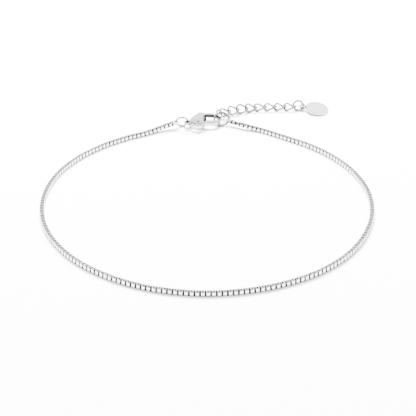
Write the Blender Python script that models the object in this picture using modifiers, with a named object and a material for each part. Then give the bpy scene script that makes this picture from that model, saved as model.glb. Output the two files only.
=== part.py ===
"""A box-chain anklet that lies closed on a table.

A fine square chain runs round the ankle from a jump ring on the clasp's eye to a
larger closing ring, which the clasp's hook holds. A short extender of twisted oval
links starts at the closing ring and ends in a small round tag. Metres, +Z up.
"""
import math

import bmesh
import bpy
from mathutils import Euler, Matrix, Vector

# Main chain
LOOP_RADIUS = 0.0362
CHAIN_WIDTH = 0.00097
CHAIN_GAP = 0.00006

# Last box link at each end of the chain, a band of strip that a ring passes through
END_LINK_LENGTH = 0.0015
END_LINK_BAND = 0.00062
END_LINK_STRIP = 0.00014
END_LINK_GAP = 0.0001

# Clasp casting: a domed body on a flat underside, with the hook and the eye part-way up
CLASP_THICKNESS = 0.002
CLASP_EDGE = 0.0003
DOME_REACH = 0.0046
HOOK_LIFT = 0.0012
HOOK_RADIUS = 0.00229
HOOK_BAR = 0.00095
HOOK_THICKNESS = 0.001
EYE_RADIUS = 0.0009
EYE_HOLE_RADIUS = 0.0005
EYE_THICKNESS = 0.0008
EYE_REACH = 0.00552
EYE_DROP = 0.0019
EYE_LIFT = 0.00125

# Clasp lever and its pin
PIVOT_REACH = 0.00295
PIVOT_DROP = 0.00185
PIN_RADIUS = 0.00025
PIN_CLEARANCE = 0.00004
PIN_LENGTH = 0.0014
PIN_RECESS = 0.00006
LEVER_THICKNESS = 0.00095
LUG_THICKNESS = 0.0005
LUG_DROP = 0.00015
LUG_RADIUS = 0.00075
LUG_CLEARANCE = 0.00005
PIVOT_BOSS_RADIUS = 0.00137
LEVER_CLEARANCE = 0.00017
SEAM = 0.00005

# Round wire rings
JUMP_RING_RADIUS = 0.001475
JUMP_RING_WIRE = 0.00048
CLOSING_RING_RADIUS = 0.001775
CLOSING_RING_WIRE = 0.0005
TAG_RING_RADIUS = 0.00125
TAG_RING_WIRE = 0.0005

# Twisted oval links of the extender
LINK_COUNT = 9
LINK_HALF_LENGTH = 0.001515
LINK_HALF_WIDTH = 0.00115
LINK_WIRE = 0.0005
LINK_TWIST = math.radians(45)
LINK_GAP = 0.00005

# Round tag and the loop soldered to its edge
TAG_RADIUS = 0.00285
TAG_THICKNESS = 0.0005
TAG_TILT = math.radians(5)
TAG_ROLL = math.radians(7)
TAG_LOOP_RADIUS = 0.00062
TAG_LOOP_WIRE = 0.00045

# Where the pieces lie, seen from above, from the middle of the chain's loop
HOOK_RIGHT = 0.00075
HOOK_BACK = 0.00255

# The chain's route on the table: angle in degrees, radius as a share of the loop's
# radius, height of the middle as a share of the chain's width
CHAIN_ROUTE = [
    (76, 1.028, 0.88),
    (69, 1.018, 0.5),
    (59, 0.991, 0.5),
    (47, 0.991, 0.5),
    (34, 0.995, 0.5),
    (20, 1.0, 0.5),
    (5, 1.004, 0.5),
    (-10, 1.005, 0.5),
    (-25, 1.007, 0.5),
    (-40, 1.009, 0.5),
    (-55, 1.004, 0.5),
    (-72, 0.996, 0.5),
    (-90, 0.994, 0.5),
    (-108, 0.995, 0.5),
    (-125, 0.997, 0.5),
    (-142, 1.002, 0.5),
    (-160, 1.005, 0.5),
    (-178, 1.006, 0.5),
    (-196, 1.006, 0.5),
    (-212, 1.003, 0.5),
    (-226, 0.998, 0.5),
    (-238, 0.995, 0.5),
    (-246, 0.997, 0.5),
    (-252, 1.017, 0.8),
]

# The extender's links from the closing ring outward: yaw, pitch and roll in degrees,
# and the step to the next link as a share of the tight step
EXTENDER_LAY = [
    (95, -22.4, 39, 0.982),
    (42, -5.9, 28, 1.0),
    (29.4, -2.3, 30, 0.985),
    (20.4, -1.2, 32, 0.994),
    (23.3, -6.8, 22, 0.996),
    (4.5, 0, 5, 1.0),
    (2, 0, 5, 1.0),
    (0.6, 0, 5, 1.0),
    (0, 0, 5, 1.0),
]

# The clasp body's outline, as shares of the eye's reach and of the hook's outer radius
BODY_FAR_EDGE = [(-0.353, 0.984), (-0.48, 1.025), (-0.527, 0.93), (-0.589, 0.74), (-0.725, 0.38),
                 (-0.87, -0.06)]
BODY_NEAR_EDGE = [(-0.805, -0.6), (-0.725, -0.74), (-0.64, -0.885), (-0.55, -0.965),
                  (-0.471, -0.995)]

# The crown of the body's dome, in the same shares
DOME_CROWN = (-0.47, 0.29)

# Where the body's neck runs into the eye, as shares of the eye's radius from its centre
NECK = [(0.2, 0.85), (0.85, 0.35)]

# The lever's tab behind the gate, round the pivot: angle in degrees, share of the reach
TAB_OUTER_EDGE = [(-31, 0.655), (-45, 0.695), (-65, 0.765), (-82, 0.8), (-100, 0.806), (-120, 0.79),
                  (-136, 0.775), (-146, 0.765)]
TAB_INNER_EDGE = [(-150, 0.725), (-149, 0.665), (-138, 0.61), (-121, 0.57), (-106, 0.55)]

HOOK_INNER = HOOK_RADIUS - HOOK_BAR / 2
HOOK_OUTER = HOOK_RADIUS + HOOK_BAR / 2
HOOK_EDGE = 0.22 * HOOK_BAR
EYE_EDGE = 0.2 * EYE_THICKNESS
LEVER_EDGE = 0.18 * LEVER_THICKNESS
TAG_EDGE = 0.2 * TAG_THICKNESS
END_LINK_CORNER = 0.25 * CHAIN_WIDTH
WELD_DISTANCE = 0.000001
CHAIN_POINTS = 80

for old in list(bpy.data.objects):
    bpy.data.objects.remove(old, do_unlink=True)

PARTS = bpy.data.collections.new("anklet")
HELPERS = bpy.data.collections.new("anklet_cutters")
bpy.context.scene.collection.children.link(PARTS)
bpy.context.scene.collection.children.link(HELPERS)


def metal(name, roughness):
    """Polished white metal."""
    material = bpy.data.materials.new(name)
    material.use_nodes = True
    shader = material.node_tree.nodes["Principled BSDF"]
    shader.inputs["Base Color"].default_value = (0.8, 0.8, 0.81, 1)
    shader.inputs["Metallic"].default_value = 1
    shader.inputs["Roughness"].default_value = roughness
    return material


def empty(name, parent, location, rotation=(0, 0, 0)):
    """A frame that pieces are placed in."""
    frame = bpy.data.objects.new(name, None)
    HELPERS.objects.link(frame)
    frame.empty_display_size = 0.001
    frame.parent = parent
    frame.location = location
    frame.rotation_euler = rotation
    bpy.context.view_layer.update()
    return frame


def place(name, data, parent, location=(0, 0, 0), rotation=(0, 0, 0), guide=False):
    """Put a mesh or a curve into the model, as a piece or as a hidden cutter."""
    piece = bpy.data.objects.new(name, data)
    (HELPERS if guide else PARTS).objects.link(piece)
    piece.parent = parent
    piece.location = location
    piece.rotation_euler = rotation
    if guide:
        piece.hide_render = True
        piece.display_type = "WIRE"
    return piece


def arc(centre, radius, start, end, steps):
    """Points along an arc in the plan, from a start to an end angle in degrees."""
    points = []
    for step in range(steps + 1):
        angle = math.radians(start + (end - start) * step / steps)
        points.append((centre[0] + radius * math.cos(angle), centre[1] + radius * math.sin(angle)))
    return points


def mesh_from_curve(curve, name):
    """The curve's surface as a closed mesh, with its caps welded on."""
    holder = bpy.data.objects.new(name + "_curve", curve)
    HELPERS.objects.link(holder)
    bpy.context.view_layer.update()
    evaluated = holder.evaluated_get(bpy.context.evaluated_depsgraph_get())
    mesh = bpy.data.meshes.new_from_object(evaluated)
    bpy.data.objects.remove(holder, do_unlink=True)
    work = bmesh.new()
    work.from_mesh(mesh)
    bmesh.ops.remove_doubles(work, verts=work.verts, dist=WELD_DISTANCE)
    bmesh.ops.recalc_face_normals(work, faces=work.faces)
    work.to_mesh(mesh)
    work.free()
    mesh.name = name
    return mesh


def plate(name, outlines, thickness, edge, parent, location=(0, 0, 0), guide=False):
    """A flat piece with rounded edges, from closed outlines in the plan."""
    curve = bpy.data.curves.new(name, "CURVE")
    curve.dimensions = "2D"
    curve.fill_mode = "BOTH"
    curve.extrude = thickness / 2 - edge
    curve.bevel_depth = edge
    curve.bevel_resolution = 1
    curve.offset = -edge
    for outline in outlines:
        spline = curve.splines.new("POLY")
        spline.points.add(len(outline) - 1)
        for point, (x, y) in zip(spline.points, outline):
            point.co = (x, y, 0, 1)
        spline.use_cyclic_u = True
    return place(name, mesh_from_curve(curve, name), parent, location, guide=guide)


def cylinder(name, radius, depth, parent, location=(0, 0, 0), guide=False, sides=24):
    """A plain round bar along Z."""
    mesh = bpy.data.meshes.new(name)
    work = bmesh.new()
    bmesh.ops.create_cone(work, cap_ends=True, segments=sides, radius1=radius, radius2=radius, depth=depth)
    work.to_mesh(mesh)
    work.free()
    return place(name, mesh, parent, location, guide=guide)


def box(name, low, high, parent):
    """A cutter with square corners."""
    mesh = bpy.data.meshes.new(name)
    work = bmesh.new()
    size = [b - a for a, b in zip(low, high)]
    middle = [(a + b) / 2 for a, b in zip(low, high)]
    bmesh.ops.create_cube(work, size=1, matrix=Matrix.Translation(middle) @ Matrix.Diagonal((*size, 1)))
    work.to_mesh(mesh)
    work.free()
    return place(name, mesh, parent, guide=True)


def dome(name, reach, height, parent, location):
    """A cutter: a ball stretched to a wide, low dome and the same below it."""
    mesh = bpy.data.meshes.new(name)
    work = bmesh.new()
    bmesh.ops.create_uvsphere(work, u_segments=32, v_segments=18, radius=1,
                              matrix=Matrix.Diagonal((reach, reach, height, 1)))
    work.to_mesh(mesh)
    work.free()
    return place(name, mesh, parent, location, guide=True)


def combine(piece, other, operation):
    """Cut a piece with a helper solid, or fuse the helper to it."""
    modifier = piece.modifiers.new(other.name, "BOOLEAN")
    modifier.operation = operation
    modifier.object = other
    modifier.solver = "EXACT"


def wire_ring(name, radius, wire, parent, location, tilt, yaw, guide=False):
    """A closed ring of round wire, tilted about its left-right line and then turned."""
    bpy.ops.mesh.primitive_torus_add(major_radius=radius, minor_radius=wire / 2,
                                     major_segments=16, minor_segments=6)
    made = bpy.context.object
    mesh = made.data
    bpy.data.objects.remove(made, do_unlink=True)
    mesh.name = name
    mesh.shade_smooth()
    return place(name, mesh, parent, location, (tilt, 0, yaw), guide)


def ring_point(centre, radius, tilt, yaw, angle):
    """A point on a ring's wire and the wire's direction there."""
    turn = Euler((tilt, 0, yaw)).to_matrix()
    point = turn @ Vector((radius * math.cos(angle), radius * math.sin(angle), 0))
    along = turn @ Vector((-math.sin(angle), math.cos(angle), 0))
    return Vector(centre) + point, along


def route_point(row):
    """One of the chain's route points, from its row in the table."""
    degrees, radius_share, height_share = row
    angle = math.radians(degrees)
    radius = LOOP_RADIUS * radius_share
    return Vector((radius * math.cos(angle), radius * math.sin(angle), CHAIN_WIDTH * height_share))


def smooth_route(points, count):
    """Evenly spaced points on a smooth curve through the given points."""
    distance = [0.0]
    for before, after in zip(points, points[1:]):
        distance.append(distance[-1] + (after - before).length)
    slopes = []
    for index in range(len(points)):
        low = max(index - 1, 0)
        high = min(index + 1, len(points) - 1)
        slopes.append((points[high] - points[low]) / (distance[high] - distance[low]))
    result = []
    leg = 0
    for index in range(count):
        want = distance[-1] * index / (count - 1)
        while leg < len(points) - 2 and distance[leg + 1] < want:
            leg += 1
        length = distance[leg + 1] - distance[leg]
        t = (want - distance[leg]) / length
        result.append(points[leg] * (2 * t ** 3 - 3 * t ** 2 + 1)
                      + slopes[leg] * length * (t ** 3 - 2 * t ** 2 + t)
                      + points[leg + 1] * (3 * t ** 2 - 2 * t ** 3)
                      + slopes[leg + 1] * length * (t ** 3 - t ** 2))
    return result


SILVER = metal("polished silver", 0.12)
STEEL = metal("bright pin", 0.2)
SATIN = metal("satin silver", 0.3)

# Step from one extender link to the next where they are pulled tight
tight_step = 2 * LINK_HALF_LENGTH - LINK_WIRE - LINK_GAP

# Closing ring, round the hook's bar and leaning back
hook_centre = Vector((HOOK_RIGHT, LOOP_RADIUS + HOOK_BACK, HOOK_LIFT))
closing_tilt = math.radians(37.7)
closing_yaw = math.radians(-9.3)
closing_ring_centre = Vector((hook_centre.x + HOOK_OUTER,
                              hook_centre.y - 0.016 * CLOSING_RING_RADIUS,
                              CLOSING_RING_RADIUS * math.sin(closing_tilt) + CLOSING_RING_WIRE / 2))

# Extender: each link starts one step beyond the one before
link_starts = []
link_turns = []
start = closing_ring_centre + Vector((-0.016, 0.381, 0.59)) * CLOSING_RING_RADIUS
for yaw, pitch, roll, share in EXTENDER_LAY[:LINK_COUNT]:
    turn = Euler((math.radians(roll), -math.radians(pitch), math.radians(yaw)))
    forward = turn.to_matrix() @ Vector((1, 0, 0))
    link_starts.append(start)
    link_turns.append(turn)
    extender_end = start + forward * 2 * LINK_HALF_LENGTH
    start = start + forward * tight_step * share

# Tag ring, leaning on the last link, and the tag beyond it
tag_ring_tilt = math.radians(42)
tag_ring_yaw = math.radians(-6.7)
tag_ring_centre = Vector((extender_end.x + 0.468 * TAG_RING_RADIUS,
                          extender_end.y + 0.066 * TAG_RING_RADIUS,
                          TAG_RING_RADIUS * math.sin(tag_ring_tilt) + TAG_RING_WIRE / 2))
tag_lean = math.hypot(math.sin(TAG_TILT), math.sin(TAG_ROLL) * math.cos(TAG_TILT))
tag_height = TAG_RADIUS * tag_lean + TAG_THICKNESS / 2
tag_loop_tilt = math.radians(-76)
tag_loop_yaw = math.radians(-8.7)
tag_loop_centre = Vector((tag_ring_centre.x + 0.95 * TAG_RING_RADIUS,
                          tag_ring_centre.y - 0.25 * TAG_RING_RADIUS,
                          tag_height + TAG_RADIUS * math.sin(TAG_ROLL) - 0.22 * TAG_LOOP_WIRE))
tag_away = TAG_RADIUS + TAG_LOOP_RADIUS + 0.1 * TAG_LOOP_WIRE
tag_centre = Vector((tag_loop_centre.x + tag_away * math.cos(tag_loop_yaw),
                     tag_loop_centre.y + tag_away * math.sin(tag_loop_yaw),
                     tag_height))

# The tag reaches furthest back and the chain furthest forward, and the model's origin
# is midway between them
front_reach = CHAIN_WIDTH / 2 - min(route_point(row).y for row in CHAIN_ROUTE)
back_reach = tag_centre.y + TAG_RADIUS * math.cos(TAG_TILT) + TAG_THICKNESS / 2 * math.sin(TAG_TILT)
LOOP = empty("loop_centre", None, (0, (front_reach - back_reach) / 2, 0))


def make_clasp_body():
    """Hook, body and eye cast in one, slotted for the lever and bored for its pin."""
    frame = empty("clasp_frame", LOOP, hook_centre)
    pivot = (-PIVOT_REACH, -PIVOT_DROP)
    far = [(x * EYE_REACH, y * HOOK_OUTER) for x, y in BODY_FAR_EDGE]
    near = [(x * EYE_REACH, y * HOOK_OUTER) for x, y in BODY_NEAR_EDGE]
    neck = [(x * EYE_RADIUS - EYE_REACH, y * EYE_RADIUS - EYE_DROP) for x, y in NECK]
    outline = (far + neck + near
               + arc(pivot, PIVOT_BOSS_RADIUS, -44, 25, 5)
               + arc((0, 0), HOOK_INNER * 0.92, 190, 122, 5))
    body = plate("clasp_body", [outline], CLASP_THICKNESS, CLASP_EDGE, frame,
                 (0, 0, CLASP_THICKNESS / 2 - HOOK_LIFT))
    crown = (DOME_CROWN[0] * EYE_REACH, DOME_CROWN[1] * HOOK_OUTER, -HOOK_LIFT)
    combine(body, dome("clasp_dome", DOME_REACH, CLASP_THICKNESS, frame, crown), "INTERSECT")

    tip_radius = PIVOT_REACH + SEAM / 2
    tip_low = math.degrees(math.asin((PIVOT_DROP - HOOK_OUTER) / tip_radius))
    tip_high = math.degrees(math.asin((PIVOT_DROP - HOOK_INNER) / tip_radius))
    root = 0.33 * EYE_REACH
    outline = ([(-root, HOOK_OUTER)]
               + arc((0, 0), HOOK_OUTER, 90, -86, 17)
               + arc(pivot, tip_radius, tip_low, tip_high, 2)
               + arc((0, 0), HOOK_INNER, -80, 90, 16)
               + [(-root, HOOK_INNER)])
    hook = plate("clasp_hook", [outline], HOOK_THICKNESS, HOOK_EDGE, frame, guide=True)
    combine(body, hook, "UNION")

    eye_place = (-EYE_REACH, -EYE_DROP, EYE_LIFT - HOOK_LIFT)
    rim = arc((0, 0), EYE_RADIUS, 0, 345, 23)
    hole = arc((0, 0), EYE_HOLE_RADIUS, 0, 337.5, 15)
    eye = plate("clasp_eye", [rim, hole], EYE_THICKNESS, EYE_EDGE, frame, eye_place, guide=True)
    combine(body, eye, "UNION")

    slot_reach = LUG_RADIUS + 4 * LUG_CLEARANCE
    slot_half = LUG_THICKNESS / 2 + LUG_CLEARANCE
    slot = box("lever_slot",
               (pivot[0] - slot_reach, pivot[1] - 2 * PIVOT_BOSS_RADIUS, -LUG_DROP - slot_half),
               (pivot[0] + PIVOT_BOSS_RADIUS + LEVER_CLEARANCE, pivot[1] + slot_reach, slot_half - LUG_DROP),
               frame)
    combine(body, slot, "DIFFERENCE")
    bore = cylinder("pin_bore", PIN_RADIUS + PIN_CLEARANCE, 2 * CLASP_THICKNESS, frame, (*pivot, 0), True)
    combine(body, bore, "DIFFERENCE")
    return body, frame


def make_lever(clasp_frame):
    """Gate and thumb tab in one, on a thin lug that turns in the body's slot."""
    pivot_frame = empty("lever_pivot", clasp_frame, (-PIVOT_REACH, -PIVOT_DROP, 0))
    gate_low = PIVOT_DROP - HOOK_OUTER
    gate_high = PIVOT_DROP - HOOK_INNER
    tip_radius = PIVOT_REACH - SEAM / 2
    inner_radius = PIVOT_BOSS_RADIUS + LEVER_CLEARANCE
    tip = arc((0, 0), tip_radius, math.degrees(math.asin(gate_high / tip_radius)),
              math.degrees(math.asin(gate_low / tip_radius)), 3)
    outer = [arc((0, 0), PIVOT_REACH * share, angle, angle, 1)[0] for angle, share in TAB_OUTER_EDGE]
    inner = [arc((0, 0), PIVOT_REACH * share, angle, angle, 1)[0] for angle, share in TAB_INNER_EDGE]
    throat = arc((0, 0), inner_radius, -97, math.degrees(math.asin(gate_high / inner_radius)), 8)
    lever = plate("clasp_lever", [tip + outer + inner + throat], LEVER_THICKNESS, LEVER_EDGE, pivot_frame)
    arm_radius = inner_radius + 0.45 * LUG_RADIUS
    outline = arc((0, 0), LUG_RADIUS, 98, 300, 12) + arc((0, 0), arm_radius, -60, 5, 5)
    lug = plate("lever_lug", [outline], LUG_THICKNESS, LUG_CLEARANCE, pivot_frame, (0, 0, -LUG_DROP), True)
    combine(lever, lug, "UNION")
    bore = cylinder("lug_bore", PIN_RADIUS + PIN_CLEARANCE, CLASP_THICKNESS, pivot_frame, guide=True)
    combine(lever, bore, "DIFFERENCE")
    pin = cylinder("clasp_pin", PIN_RADIUS, PIN_LENGTH, pivot_frame,
                   (0, 0, PIN_RECESS + PIN_LENGTH / 2 - HOOK_LIFT))
    return lever, pin


def make_end_link(name, seat, along_wire, wire, toward):
    """A band of strip round a ring's wire at one end of the chain."""
    long_axis = toward.normalized()
    through = (along_wire - long_axis * along_wire.dot(long_axis)).normalized()
    side = through.cross(long_axis)
    turn = Matrix((long_axis, side, through)).transposed()
    reach = END_LINK_LENGTH / 2 - END_LINK_STRIP - wire / 2 - END_LINK_GAP
    centre = seat + long_axis * reach
    half = END_LINK_LENGTH / 2
    wide = CHAIN_WIDTH / 2
    outlines = []
    for inset, corner in ((0, END_LINK_CORNER), (END_LINK_STRIP, END_LINK_CORNER - END_LINK_STRIP)):
        x = half - inset - corner
        y = wide - inset - corner
        outlines.append(arc((x, y), corner, 0, 90, 2) + arc((-x, y), corner, 90, 180, 2)
                        + arc((-x, -y), corner, 180, 270, 2) + arc((x, -y), corner, 270, 360, 2))
    link = plate(name, outlines, END_LINK_BAND, 0.2 * END_LINK_STRIP, LOOP, centre)
    link.rotation_euler = turn.to_euler()
    return link, centre + long_axis * (half + CHAIN_GAP)


def make_link_curve():
    """One extender link: an oval of round wire, twisted along its length."""
    curve = bpy.data.curves.new("extender_link", "CURVE")
    curve.dimensions = "3D"
    curve.bevel_depth = LINK_WIRE / 2
    curve.bevel_resolution = 1
    sides = 16
    spline = curve.splines.new("POLY")
    spline.points.add(sides - 1)
    for index, point in enumerate(spline.points):
        angle = 2 * math.pi * index / sides
        along = math.cos(angle)
        out = LINK_HALF_WIDTH * math.sin(angle)
        twist = -LINK_TWIST * along
        point.co = (LINK_HALF_LENGTH * (1 + along), out * math.cos(twist), out * math.sin(twist), 1)
    spline.use_cyclic_u = True
    return curve


def make_tag():
    """A round disc with a wire loop soldered to its edge, one solid."""
    tag = cylinder("tag", TAG_RADIUS, TAG_THICKNESS, LOOP, tag_centre, sides=48)
    tag.rotation_euler = (TAG_TILT, TAG_ROLL, 0)
    rounding = tag.modifiers.new("rounded rim", "BEVEL")
    rounding.width = TAG_EDGE
    rounding.segments = 2
    loop = wire_ring("tag_loop", TAG_LOOP_RADIUS, TAG_LOOP_WIRE, LOOP, tag_loop_centre,
                     tag_loop_tilt, tag_loop_yaw, guide=True)
    combine(tag, loop, "UNION")
    return tag


def make_chain(right_end, right_pull, left_end, left_pull):
    """The main chain's form, from the right end link round the front to the left one."""
    points = ([right_end, right_end + right_pull * CHAIN_WIDTH]
              + [route_point(row) for row in CHAIN_ROUTE]
              + [left_end + left_pull * CHAIN_WIDTH, left_end])
    curve = bpy.data.curves.new("box_chain", "CURVE")
    curve.dimensions = "3D"
    curve.bevel_depth = CHAIN_WIDTH / 2
    curve.bevel_resolution = 2
    curve.use_fill_caps = True
    route = smooth_route(points, CHAIN_POINTS)
    spline = curve.splines.new("POLY")
    spline.points.add(len(route) - 1)
    for point, where in zip(spline.points, route):
        point.co = (*where, 1)
    return place("box_chain", curve, LOOP)


clasp, clasp_frame = make_clasp_body()
lever, pin = make_lever(clasp_frame)

# Jump ring in the clasp's eye, nearly upright and leaning toward the front
jump_tilt = math.radians(109)
eye_centre = hook_centre + Vector((-EYE_REACH, -EYE_DROP, EYE_LIFT - HOOK_LIFT))
jump_ring_centre = Vector((eye_centre.x - 0.915 * JUMP_RING_RADIUS, eye_centre.y - 0.09 * JUMP_RING_RADIUS,
                           JUMP_RING_RADIUS * math.sin(jump_tilt) + JUMP_RING_WIRE / 2))
jump_ring = wire_ring("jump_ring_left", JUMP_RING_RADIUS, JUMP_RING_WIRE, LOOP, jump_ring_centre, jump_tilt, 0)
closing_ring = wire_ring("closing_ring", CLOSING_RING_RADIUS, CLOSING_RING_WIRE, LOOP, closing_ring_centre,
                         closing_tilt, closing_yaw)

seat, along = ring_point(closing_ring_centre, CLOSING_RING_RADIUS, closing_tilt, closing_yaw, math.radians(-12))
right_pull = (route_point(CHAIN_ROUTE[0]) - seat).normalized()
right_link, right_end = make_end_link("chain_end_link_right", seat, along, CLOSING_RING_WIRE, right_pull)
seat, along = ring_point(jump_ring_centre, JUMP_RING_RADIUS, jump_tilt, 0, math.radians(188))
left_pull = (route_point(CHAIN_ROUTE[-1]) - seat).normalized()
left_link, left_end = make_end_link("chain_end_link_left", seat, along, JUMP_RING_WIRE, left_pull)
chain = make_chain(right_end, right_pull, left_end, left_pull)

link_curve = make_link_curve()
links = []
for index, (where, turn) in enumerate(zip(link_starts, link_turns)):
    links.append(place(f"extender_link_{index + 1}", link_curve, LOOP, where, turn))

tag_ring = wire_ring("tag_ring", TAG_RING_RADIUS, TAG_RING_WIRE, LOOP, tag_ring_centre,
                     tag_ring_tilt, tag_ring_yaw)
tag = make_tag()

for piece in [chain, left_link, right_link, jump_ring, closing_ring, clasp, lever, tag_ring] + links:
    if not piece.data.materials:
        piece.data.materials.append(SILVER)
pin.data.materials.append(STEEL)
tag.data.materials.append(SATIN)
bpy.context.view_layer.update()
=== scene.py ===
"""Looks of the box-chain anklet, piece by piece in the order that it is put together."""
import math

import bmesh
import bpy
import numpy as np
from mathutils import Euler, Matrix, Vector


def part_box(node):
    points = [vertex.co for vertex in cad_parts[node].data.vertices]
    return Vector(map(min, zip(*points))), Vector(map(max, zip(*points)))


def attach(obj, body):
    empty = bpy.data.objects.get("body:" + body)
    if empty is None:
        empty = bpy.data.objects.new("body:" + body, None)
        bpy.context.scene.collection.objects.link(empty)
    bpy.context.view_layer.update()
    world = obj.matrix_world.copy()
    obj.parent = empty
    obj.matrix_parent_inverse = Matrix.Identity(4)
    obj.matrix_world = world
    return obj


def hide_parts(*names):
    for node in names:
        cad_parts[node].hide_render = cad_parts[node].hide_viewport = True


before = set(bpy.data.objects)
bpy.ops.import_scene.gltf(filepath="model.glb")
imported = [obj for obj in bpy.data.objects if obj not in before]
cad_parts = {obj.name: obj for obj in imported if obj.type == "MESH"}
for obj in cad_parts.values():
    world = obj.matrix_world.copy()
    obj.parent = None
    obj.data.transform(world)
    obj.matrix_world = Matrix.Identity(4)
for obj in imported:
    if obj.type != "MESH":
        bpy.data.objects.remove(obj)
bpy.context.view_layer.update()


# Camera and table
# The anklet lies on a white table in a light tent. The camera looks down at it from the
# front, far enough away that the loop keeps an even oval.
MM = 0.001
CAMERA_TARGET = Vector((0.2, -8.83, 0.485)) * MM
CAMERA_DISTANCE = 299 * MM
CAMERA_ELEVATION = math.radians(30.65)
CAMERA_LENS = 117.7
TABLE_SIZE = 3
TABLE_DROP = 0.02 * MM
TENT_STRENGTH = 7.2

camera_data = bpy.data.cameras.new("camera")
camera_data.lens = CAMERA_LENS
camera_data.sensor_width = 36
camera_data.clip_start = 0.01
camera = bpy.data.objects.new("camera", camera_data)
bpy.context.scene.collection.objects.link(camera)
camera_back = Vector((0, -math.cos(CAMERA_ELEVATION), math.sin(CAMERA_ELEVATION)))
camera.location = CAMERA_TARGET + camera_back * CAMERA_DISTANCE
camera.rotation_euler = (math.pi / 2 - CAMERA_ELEVATION, 0, 0)
bpy.context.scene.camera = camera

bpy.ops.mesh.primitive_plane_add(size=TABLE_SIZE, location=(0, 0, -TABLE_DROP))
table = bpy.context.object
table.name = "table_top"
white = bpy.data.materials.new("white table")
white.use_nodes = True
white_shader = white.node_tree.nodes["Principled BSDF"]
white_shader.inputs["Base Color"].default_value = (0.9, 0.9, 0.9, 1)
white_shader.inputs["Roughness"].default_value = 0.6
white_shader.inputs["Specular IOR Level"].default_value = 0.25
table.data.materials.append(white)


def softbox(name, place, width, height, power):
    """A soft rectangular light that faces the middle of the anklet."""
    data = bpy.data.lights.new(name, "AREA")
    data.shape = "RECTANGLE"
    data.size = width
    data.size_y = height
    data.energy = power
    lamp = bpy.data.objects.new(name, data)
    bpy.context.scene.collection.objects.link(lamp)
    lamp.location = place
    lamp.rotation_euler = (-Vector(place)).to_track_quat("-Z", "Y").to_euler()
    return lamp


# The main light shines through the tent's cloth, so metal reflects the cloth and not the lamp
top_light = softbox("top_light", (-0.05, 0.4, 0.48), 0.36, 0.27, 75.0)
top_light.visible_glossy = False
softbox("left_light", (-0.6, 0, 0.35), 0.4, 0.5, 3.0)
softbox("right_light", (0.6, 0, 0.35), 0.4, 0.5, 5.0)

world = bpy.data.worlds.new("light tent")
bpy.context.scene.world = world
world.use_nodes = True
tent = world.node_tree
tent.nodes.clear()
tent_out = tent.nodes.new("ShaderNodeOutputWorld")
tent_light = tent.nodes.new("ShaderNodeBackground")
tent_place = tent.nodes.new("ShaderNodeTexCoord")
tent_split = tent.nodes.new("ShaderNodeSeparateXYZ")
tent.links.new(tent_place.outputs["Generated"], tent_split.inputs["Vector"])


def tent_band(direction, stops):
    """Shades that run along one direction of the tent, from -1 to 1."""
    spread = tent.nodes.new("ShaderNodeMapRange")
    spread.inputs["From Min"].default_value = -1
    tent.links.new(tent_split.outputs[direction], spread.inputs["Value"])
    ramp = tent.nodes.new("ShaderNodeValToRGB")
    while len(ramp.color_ramp.elements) < len(stops):
        ramp.color_ramp.elements.new(0.5)
    for element, (place, shade) in zip(ramp.color_ramp.elements, stops):
        element.position = (place + 1) / 2
        element.color = (shade, shade, shade * 1.01, 1)
    tent.links.new(spread.outputs["Result"], ramp.inputs["Fac"])
    return ramp.outputs["Color"]


def multiply_colours(tree, first, second):
    """The product of two colours in a node tree."""
    both = tree.nodes.new("ShaderNodeMix")
    both.data_type = "RGBA"
    both.blend_type = "MULTIPLY"
    both.inputs["Factor"].default_value = 1
    first_colour, second_colour = [s for s in both.inputs if s.type == "RGBA"]
    tree.links.new(first, first_colour)
    tree.links.new(second, second_colour)
    return [s for s in both.outputs if s.type == "RGBA"][0]


# White behind and above, dark near the table and at the far sides, greyer where the camera is.
# Each stop is a place along the direction and the shade there.
HEIGHT_SHADES = [(-1, 0.04), (0.14, 0.04), (0.28, 0.9), (0.6, 1.0), (0.9, 0.9), (1.0, 0.85)]
DEPTH_SHADES = [(-1, 0.25), (-0.5, 0.35), (-0.1, 0.6), (0.4, 0.9), (0.7, 1.0), (1.0, 1.0)]
WIDTH_SHADES = [(-1, 0.15), (-0.85, 0.2), (-0.6, 1.0), (0.6, 1.0), (0.85, 0.2), (1.0, 0.15)]
height = tent_band("Z", HEIGHT_SHADES)
depth = tent_band("Y", DEPTH_SHADES)
width = tent_band("X", WIDTH_SHADES)
tent_colour = multiply_colours(tent, multiply_colours(tent, height, depth), width)
tent.links.new(tent_colour, tent_light.inputs["Color"])
tent_light.inputs["Strength"].default_value = TENT_STRENGTH
tent.links.new(tent_light.outputs["Background"], tent_out.inputs["Surface"])


# Jump ring on the clasp's eye and closing ring on its hook
# Each is a closed ring of round wire, soldered where its ends meet. The left one stands
# nearly upright, and the larger right one leans back over the hook's bar.
JUMP_RING_RADIUS = 1.475 * MM
JUMP_RING_WIRE = 0.48 * MM
JUMP_RING_TILT = math.radians(109)
CLOSING_RING_RADIUS = 1.775 * MM
CLOSING_RING_WIRE = 0.5 * MM
CLOSING_RING_TILT = math.radians(37.7)
CLOSING_RING_YAW = math.radians(-9.3)
SEAM_DEPTH = 0.12
SEAM_REACH = 0.035
WEAR_RELIEF = 0.02 * MM


def node_middle(name):
    """The mean of a frame node's points."""
    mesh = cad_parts[name].data
    points = np.zeros(len(mesh.vertices) * 3)
    mesh.vertices.foreach_get("co", points)
    return Vector(points.reshape(-1, 3).mean(axis=0))


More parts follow.
